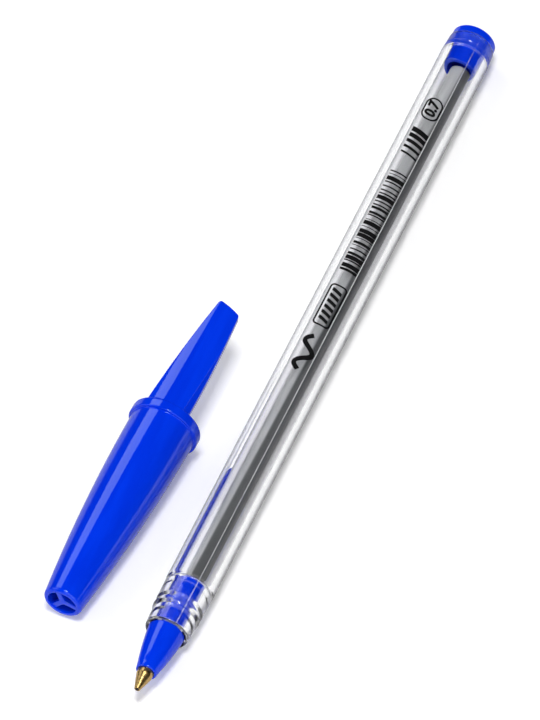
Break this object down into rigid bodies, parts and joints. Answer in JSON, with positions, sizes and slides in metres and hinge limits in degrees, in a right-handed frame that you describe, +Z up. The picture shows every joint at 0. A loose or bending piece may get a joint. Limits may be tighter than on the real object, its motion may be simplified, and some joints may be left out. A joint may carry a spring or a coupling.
{
  "type": "stick ballpoint pen",
  "caption": "Stick ballpoint pen with a clear round barrel, coloured nose and tail plug, brass tip, visible ink tube and a taken-off clip cap.",
  "frame": {"origin": "on the table under the middle of the box round the pen and the cap beside it", "axes": "+X along the pen's axis towards the tail plug, +Y from the pen towards the loose cap, +Z up from the table"},
  "size_m": [0.1432, 0.0251, 0.013],
  "materials": {
    "clear_plastic": "polished",
    "blue_plastic": "gloss",
    "brass": "polished",
    "hard_metal": "polished",
    "tube_plastic": "satin",
    "ink": "gloss"
  },
  "bodies": {
    "barrel": {"barrel": "clear_plastic"},
    "writing_unit": {"nose_cone": "blue_plastic", "writing_tip": "brass", "ink_tube": "tube_plastic", "ink": "ink"},
    "ball": {"writing_ball": "hard_metal"},
    "plug": {"tail_plug": "blue_plastic"},
    "cap": {"cap": "blue_plastic"}
  },
  "joints": [
    {"name": "unit_pull", "type": "slide", "parent": "barrel", "child": "writing_unit", "axis": [-1, 0, 0], "range_m": [0, 0.1257]},
    {"name": "ball_roll", "type": "hinge", "parent": "writing_unit", "child": "ball", "pos_m": [-0.0713, -0.00854, 0.004], "axis": [0, 1, 0], "continuous": true},
    {"name": "plug_pull", "type": "slide", "parent": "barrel", "child": "plug", "axis": [1, 0, 0], "range_m": [0, 0.0075]},
    {"name": "cap_slide", "type": "slide", "parent": "barrel", "child": "cap", "axis": [-1, 0, 0], "range_m": [0, 0.076]}
  ]
}
